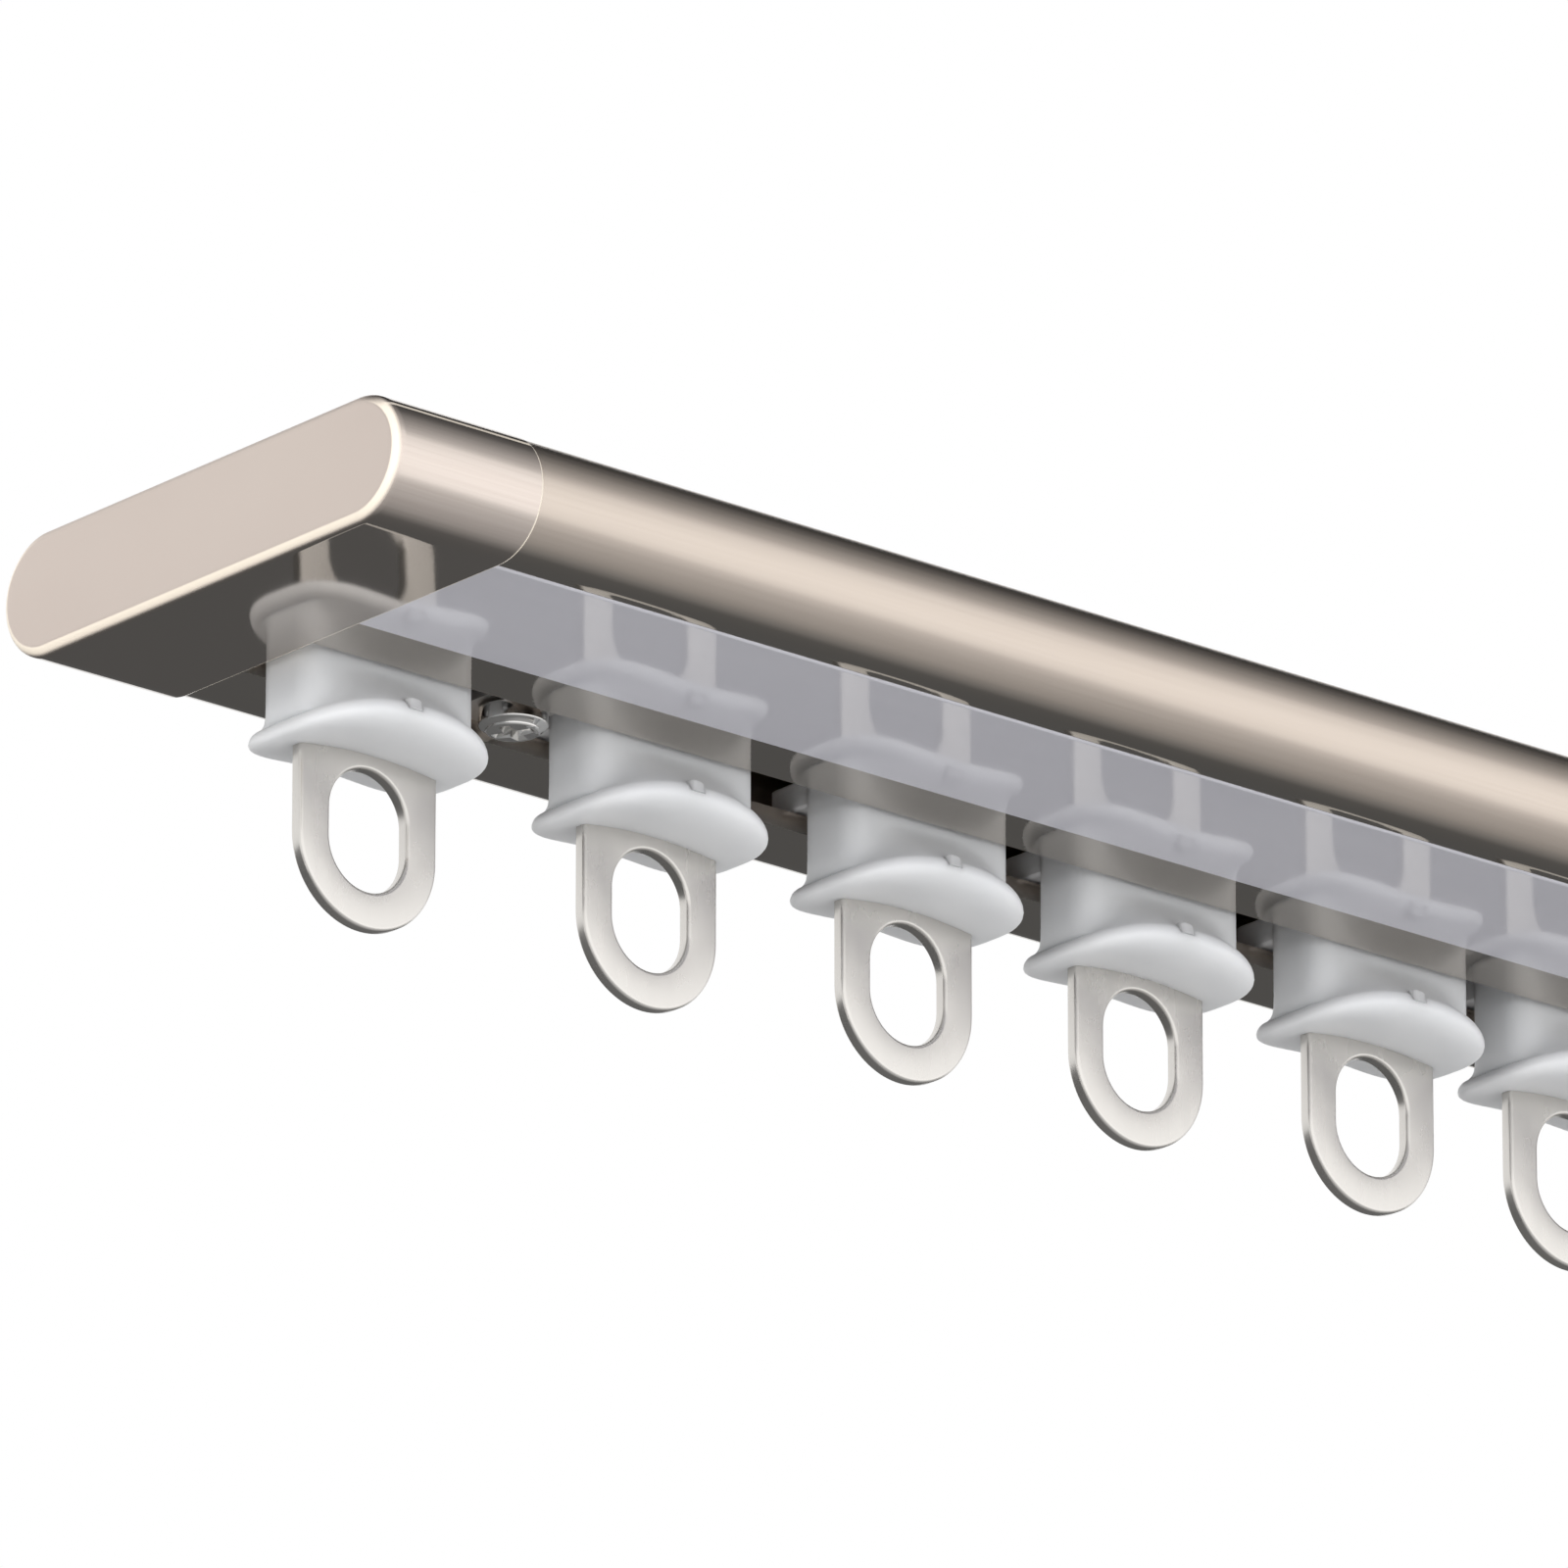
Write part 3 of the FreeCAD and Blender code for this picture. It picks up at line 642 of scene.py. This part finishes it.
neck_flat = run_along(
    np.vstack([[(NECK[0] / 2, 0)], rounded_rectangle(*NECK)]), RING_POINTS)
turn = np.radians(np.arange(360))
spine = run_along(np.column_stack([
    half * np.sign(wave) * np.abs(wave) ** (2 / SPINE[2])
    for half, wave in ((SPINE[0], np.cos(turn)), (SPINE[1], np.sin(turn)))]), RING_POINTS)
along = np.roll(spine, -1, axis=0) - np.roll(spine, 1, axis=0)
outward = np.column_stack([along[:, 1], -along[:, 0]])
outward /= np.linalg.norm(outward, axis=1)[:, None]
fall = DROOP * np.abs(spine[:, 0] / SPINE[0]) ** FALL_POWER
lengthwise = np.abs(outward[:, 1])
lean = LEAN * lengthwise


def neck_ring(inset, height):
    """A ring of the upright neck."""
    scale = 1 - 2 * inset / np.array(NECK[:2])
    return np.column_stack([neck_flat * scale, np.full(RING_POINTS, height)])


def rim_ring(share):
    """A ring of the round rim: 0 where the flare meets it and 1 at its widest place."""
    angle = lean + (math.pi / 2 - lean) * share
    return np.column_stack([
        spine + outward * RIM * np.sin(angle)[:, None],
        FLANGE_TOP - RIM - fall + RIM * np.cos(angle)])


def underside_ring(share):
    """A ring under the flange, which is domed from the rim's widest place to the middle."""
    return np.column_stack([
        (spine + outward * RIM) * share,
        FLANGE_TOP - RIM - DEPTH_BELOW * math.sqrt(1 - share ** 4) - fall * share ** FALL_POWER])


rings = [neck_ring(inset, height) for inset, height in (
    (0.4, HEAD_TOP), (0.1, HEAD_TOP - 0.12), (0, HEAD_TOP - 0.4), (0, -8))]
foot = neck_ring(0, FLARE_TOP)
foot[:, 2] -= END_DROP * (1 - lengthwise)
rings.append(foot)
lip = rim_ring(0)
bend = foot.copy()
bend[:, 2] = lip[:, 2] + np.linalg.norm(lip[:, :2] - foot[:, :2], axis=1) * np.tan(lean)
# The flare is a curve from the neck's foot to the rim, drawn towards the bend.
for i in range(1, 10):
    share = i / 10
    rings.append((1 - share) ** 2 * foot + 2 * share * (1 - share) * bend + share ** 2 * lip)
rings += [rim_ring(i / 7) for i in range(8)]
rings += [underside_ring(math.cos(math.radians(5 * i))) for i in range(1, 17)]
carrier_points, carrier_faces = skin(rings)
print("carrier points:", len(carrier_points))


# %% Lugs, boss and the gate mark, then one carrier for each body
def rounded_block(low, high, soft=0.25):
    """Points and faces of a block between two corners, with its edges drawn in a little."""
    low, high = np.array(low), np.array(high)
    centre, size = (low + high) / 2, high - low
    rings = []
    for height, inset in ((0, soft), (soft, 0), (size[2] - soft, 0), (size[2], soft)):
        flat = rounded_rectangle(size[0] - 2 * inset, size[1] - 2 * inset, soft, 3)
        rings.append(np.column_stack([flat + centre[:2], np.full(len(flat), low[2] + height)]))
    return skin(rings)


# Each guide lug from its near end to its far one, its reach to either side, and its two heights.
LUG_NEAR, LUG_FAR, LUG_REACH = 6.0, 10.5, 9.3
LUG_LOW, LUG_HIGH = -10.7, -7.5
# Half the boss's length, its reach to either side, and its two heights.
BOSS_HALF, BOSS_REACH = 2.2, 5.55
BOSS_LOW, BOSS_HIGH = -9.15, -4.75
# The gate mark stands on the flange in front of the neck: its place, its length, width and corner
# for a radius of 1, and the radius and height of each of its rings.
GATE_PLACE = (-1.2, -8.45)
GATE_SHAPE = (2, 1.4, 0.69)
GATE_RINGS = ((1.2, -18.6), (1.0, -17.6), (0.75, -17.33), (0.35, -17.2))

parts = [(carrier_points, carrier_faces)]
for side in (-1, 1):
    near, far = side * LUG_NEAR, side * LUG_FAR
    parts.append(rounded_block(
        (min(near, far), -LUG_REACH, LUG_LOW), (max(near, far), LUG_REACH, LUG_HIGH)))
parts.append(rounded_block(
    (-BOSS_HALF, -BOSS_REACH, BOSS_LOW), (BOSS_HALF, BOSS_REACH, BOSS_HIGH)))
gate = []
for radius, height in GATE_RINGS:
    flat = rounded_rectangle(*(share * radius for share in GATE_SHAPE), 5) + GATE_PLACE
    gate.append(np.column_stack([flat, np.full(len(flat), height)]))
parts.append(skin(gate))
points, faces = [], []
for part_points, part_faces in parts:
    first = sum(len(p) for p in points)
    points.append(part_points)
    faces += [tuple(first + i for i in face) for face in part_faces]
points = np.concatenate(points) * MM

for i in range(1, CARRIERS + 1):
    carrier = new_piece(
        f"carrier_moulding_{i}", points + middle(f"carrier_{i}"), faces, "nylon", 40)
    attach(carrier, f"carrier_{i}")
    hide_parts(f"carrier_{i}")
print("carrier faces:", len(faces))

# %% [markdown]
# ## The eyelets
#
# Each eyelet is stamped from plate and tumbled, so every edge is softly rounded, the hole's too.
# An outline of the plate and one of the hole have as many points, and rings that draw in along a
# quarter circle round both over.

# %% Build the eyelets
def drawn_in(loop, inset):
    """The loop moved inwards by an inset, where its points run anticlockwise."""
    tangent = np.roll(loop, -1, axis=0) - np.roll(loop, 1, axis=0)
    tangent /= np.linalg.norm(tangent, axis=1)[:, None]
    return loop + inset * np.column_stack([-tangent[:, 1], tangent[:, 0]])


# The plate's top, bottom and half width, and the same of its hole. Then the plate's thickness,
# the radius of its edges, and how many points an outline has.
TOP, BOTTOM, HALF = -13.45, -39.3, 8.9
HOLE_TOP, HOLE_BOTTOM, HOLE_HALF = -22.3, -35.3, 5.0
PLATE = 1.6
SOFT = 0.4
COUNT = 144


def upright_arc(radius, centre, start, end):
    """Points every 3 degrees on an arc in the plate's plane, about a centre on its middle line."""
    return [(radius * math.cos(math.radians(a)), centre + radius * math.sin(math.radians(a)))
            for a in range(start, end, 3)]


plate = ([(0, TOP), (-HALF, TOP)] + upright_arc(HALF, BOTTOM + HALF, 180, 361) + [(HALF, TOP)])
hole = ([(0, HOLE_TOP)] + upright_arc(HOLE_HALF, HOLE_TOP - HOLE_HALF, 93, 181)
        + upright_arc(HOLE_HALF, HOLE_BOTTOM + HOLE_HALF, 180, 361)
        + upright_arc(HOLE_HALF, HOLE_TOP - HOLE_HALF, 0, 90))
plate = run_along(np.array(plate), COUNT)
hole = run_along(np.array(hole), COUNT)

profile = []
for i in range(7):
    angle = math.radians(90 * i / 6)
    profile.append((SOFT * (1 - math.sin(angle)), SOFT * (1 - math.cos(angle))))
around = profile + [(inset, PLATE - depth) for inset, depth in profile[::-1]]
rings = [(drawn_in(plate, inset), depth) for inset, depth in around]
rings += [(drawn_in(hole, -inset), depth) for inset, depth in around[::-1]]
points = np.concatenate([
    np.column_stack([loop[:, 0], np.full(COUNT, depth - PLATE / 2), loop[:, 1]])
    for loop, depth in rings])
faces = []
for i in range(len(rings)):
    faces += band(i * COUNT, (i + 1) % len(rings) * COUNT, COUNT)

for i in range(1, CARRIERS + 1):
    eyelet = new_piece(
        f"eyelet_plate_{i}", points * MM + middle(f"eyelet_{i}"), faces, "nickel", 40)
    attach(eyelet, f"carrier_{i}")
    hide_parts(f"eyelet_{i}")
print("eyelet faces:", len(faces))

# %% [markdown]
# ## The stop screws
#
# The screw is the brightest small thing in the picture, so its head gets a domed top, rounded
# corners and a cross recess with tapered arms. The head is turned like on a lathe, and the
# recess is cut by a cross-shaped cutter.

# %% Turn the screws and cut their recesses
SHANK, HEAD, STANDS_OUT = 2.0, 3.6, 0.9
ON_AXIS = 0.001
RECESS_TURN = 24
LATHE_STEPS = 64
# One arm's corners, and the cutter's three levels: how far its arms spread, and the height there.
RECESS_CORNERS = [(2.3, 0.55), (0.75, 0.75), (0.55, 2.3)]
RECESS_LEVELS = ((1.25, -13.4), (1.0, -12.95), (0.66, -11.8))
# The profile runs from the shank's tip down: radius and height, then two rounded steps of the head
# with the radius of each round, and last the shallow dome on its end.
lathe = [(ON_AXIS, ROOF), (1.7, ROOF), (SHANK, ROOF - 0.3), (SHANK, -11.3), (HEAD - 0.1, -11.3),
         (HEAD, -11.4)]
for radius, height, soft in ((HEAD, -12.25, 0.25), (2.85, -12.9, 0.3)):
    for i in range(7):
        angle = math.radians(15 * i)
        lathe.append((radius - soft * (1 - math.cos(angle)),
                      height + soft - STANDS_OUT - soft * math.sin(angle)))
for i in range(1, 9):
    radius = 2.4 * (1 - i / 8)
    lathe.append((max(radius, ON_AXIS), -13.0 - STANDS_OUT + 0.1 * (radius / 2.55) ** 2))
around = np.array([
    (math.cos(2 * math.pi * i / LATHE_STEPS), math.sin(2 * math.pi * i / LATHE_STEPS))
    for i in range(LATHE_STEPS)])


def recess_ring(spread, height):
    """A ring of the cross-shaped cutter, with its arms spread by a factor."""
    ring = []
    for quarter in range(4):
        turned = math.radians(90 * quarter + RECESS_TURN)
        for x, y in RECESS_CORNERS:
            ring.append(((x * math.cos(turned) - y * math.sin(turned)) * spread,
                         (x * math.sin(turned) + y * math.cos(turned)) * spread))
    return np.column_stack([np.array(ring), np.full(len(ring), height - STANDS_OUT)])


for name in ("stop_screw_left", "stop_screw_right"):
    rings = [np.column_stack([around * radius, np.full(LATHE_STEPS, height)]) * MM + middle(name)
             for radius, height in lathe]
    screw = new_piece(name + "_turned", *skin(rings), "steel", 35)

    arms = [recess_ring(*level) * MM + middle(name) for level in RECESS_LEVELS]
    cutter = new_piece("recess_cutter", *skin(arms), "steel")
    cut = screw.modifiers.new("recess", "BOOLEAN")
    cut.operation, cut.solver, cut.object = "DIFFERENCE", "EXACT", cutter
    made = bpy.data.meshes.new_from_object(
        screw.evaluated_get(bpy.context.evaluated_depsgraph_get()))
    screw.modifiers.remove(cut)
    screw.data = made
    screw.data.set_sharp_from_angle(angle=math.radians(35))
    bpy.data.objects.remove(cutter)
    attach(screw, "track")
    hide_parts(name)
print("screw faces:", len(screw.data.polygons))

# %% [markdown]
# ## The studio
#
# The object hangs, so nothing stands on the floor, a wide pale disc below it. The floor is clear
# when looked at from underneath, so it never hides the object. It glows a little for the camera
# alone, which keeps it pale without more light on the object. A curved tent is seen only by
# reflections, and hides the floor from most of them. Its brightness changes with the angle, and
# that draws the smooth bands, dark to bright to dark, along the rounded front.

# %% The floor and the world
FLOOR_HEIGHT, FLOOR_RADIUS, FLOOR_POINTS = -0.75, 4, 72
FLOOR_GLOW = 0.32
floor_finish = Finish("pale_floor", Roughness=0.7)
floor_finish.shader.inputs["Base Color"].default_value = (0.80, 0.79, 0.78, 1)
seen_from_below = floor_finish.node("ShaderNodeNewGeometry", output="Backfacing")
camera_ray = floor_finish.node("ShaderNodeLightPath", output="Is Camera Ray")
floor_finish.shader.inputs["Emission Strength"].default_value = 1.0
floor_finish.set(Emission_Color=floor_finish.blend(camera_ray, (0, 0, 0), [FLOOR_GLOW] * 3))
clear = floor_finish.nodes.new("ShaderNodeBsdfTransparent")
mixed = floor_finish.node(
    "ShaderNodeMixShader",
    inputs={0: seen_from_below, 1: Signal(floor_finish, floor_finish.shader.outputs[0]),
            2: Signal(floor_finish, clear.outputs[0])})
floor_finish.feed(floor_finish.nodes["Material Output"].inputs["Surface"], mixed)
mesh = bpy.data.meshes.new("floor")
mesh.from_pydata(
    [(FLOOR_RADIUS * math.cos(2 * math.pi * i / FLOOR_POINTS),
      FLOOR_RADIUS * math.sin(2 * math.pi * i / FLOOR_POINTS), FLOOR_HEIGHT)
     for i in range(FLOOR_POINTS)], [], [tuple(range(FLOOR_POINTS))])
mesh.materials.append(floor_finish.material)
floor = bpy.data.objects.new("floor", mesh)
scene.collection.objects.link(floor)

# The world is white where it is seen, also in a reflection, and softer as a light.
WORLD_SEEN, WORLD_LIGHT = 1, 0.45
world = bpy.data.worlds.new("studio")
world.use_nodes = True
scene.world = world
nodes, links = world.node_tree.nodes, world.node_tree.links
path = nodes.new("ShaderNodeLightPath")
seen = path.outputs["Is Camera Ray"]
for ray in ("Is Glossy Ray", "Is Transmission Ray"):
    larger = nodes.new("ShaderNodeMath")
    larger.operation = "MAXIMUM"
    links.new(seen, larger.inputs[0])
    links.new(path.outputs[ray], larger.inputs[1])
    seen = larger.outputs[0]
white, soft = nodes["Background"], nodes.new("ShaderNodeBackground")
for background, strength in ((white, WORLD_SEEN), (soft, WORLD_LIGHT)):
    background.inputs["Color"].default_value = (1, 1, 1, 1)
    background.inputs["Strength"].default_value = strength
either = nodes.new("ShaderNodeMixShader")
links.new(seen, either.inputs[0])
links.new(soft.outputs[0], either.inputs[1])
links.new(white.outputs[0], either.inputs[2])
links.new(either.outputs[0], nodes["World Output"].inputs["Surface"])
print("floor", floor.dimensions[:2], "at", FLOOR_HEIGHT)


# %% The tent and the lamps
def facing(position, target=(-0.16, 0, -0.02)):
    """A place in the studio, turned to face the track."""
    away = (Vector(position) - Vector(target)).normalized()
    return Matrix.Translation(position) @ away.to_track_quat("Z", "Y").to_matrix().to_4x4()


def from_track(azimuth, elevation, distance):
    """A position seen from the track: azimuth 0 is straight in front and 90 is to the right."""
    a, e = math.radians(azimuth), math.radians(elevation)
    return Vector((math.sin(a) * math.cos(e), -math.cos(a) * math.cos(e), math.sin(e))) * distance


def add_tent(radius, reach, first, last, stops):
    """A curved screen round the track that only reflections see. Its brightness follows the angle
    about the track: 0 is straight in front, 90 above and -90 below."""
    cloth = Finish("tent_cloth", Roughness=1.0)
    cloth.shader.inputs["Base Color"].default_value = (0, 0, 0, 1)
    cloth.shader.inputs["Specular IOR Level"].default_value = 0
    cloth.shader.inputs["Emission Strength"].default_value = TENT_STRENGTH
    front = cloth.height("Y") * -1.0
    angle = cloth.node(
        "ShaderNodeMath", {"operation": "ARCTAN2"}, {0: cloth.height("Z"), 1: front})
    turn = angle * (0.5 / math.pi) + 0.5
    cloth.set(Emission_Color=cloth.ramp(
        turn, [((a + 180) / 360, brightness / TENT_STRENGTH) for a, brightness in stops]))
    points = []
    for i in range(TENT_PANELS + 1):
        angle = math.radians(first + (last - first) * i / TENT_PANELS)
        points += [(side * reach, -radius * math.cos(angle), radius * math.sin(angle))
                   for side in (-1, 1)]
    faces = [(2 * i, 2 * i + 1, 2 * i + 3, 2 * i + 2) for i in range(TENT_PANELS)]
    mesh = bpy.data.meshes.new("tent")
    mesh.from_pydata(points, [], faces)
    mesh.materials.append(cloth.material)
    tent = bpy.data.objects.new("tent", mesh)
    scene.collection.objects.link(tent)
    tent.visible_camera = False
    tent.visible_diffuse = False
    tent.visible_shadow = False


def add_lamp(name, position, size, power):
    """A soft square lamp aimed at the track."""
    light = bpy.data.lights.new(name, "AREA")
    light.shape, light.size, light.energy = "SQUARE", size, power
    lamp = bpy.data.objects.new(name, light)
    scene.collection.objects.link(lamp)
    lamp.matrix_world = facing(position)
    lamp.visible_glossy = False


TENT_STRENGTH = 1.4
TENT_PANELS = 60
add_tent(0.7, 1.4, -180, 130, (
    (-180, 0.12), (-110, 0.17), (-98, 0.29), (-82, 0.41), (-67, 0.50), (-53, 0.58), (-42, 0.67),
    (-34, 0.78), (-27, 1.11), (-20, 1.21), (-6, 1.26), (8, 1.27), (22, 1.18), (37, 1.03),
    (46, 0.66), (55, 0.51), (72, 0.31), (92, 0.12), (112, 0.04), (130, 0.03)))
add_lamp("key", from_track(-65, 10, 2.2), 1.2, 38)
add_lamp("fill", from_track(15, -10, 2.2), 1.4, 25)
add_lamp("below", from_track(-20, -75, 0.7), 0.6, 0.35)
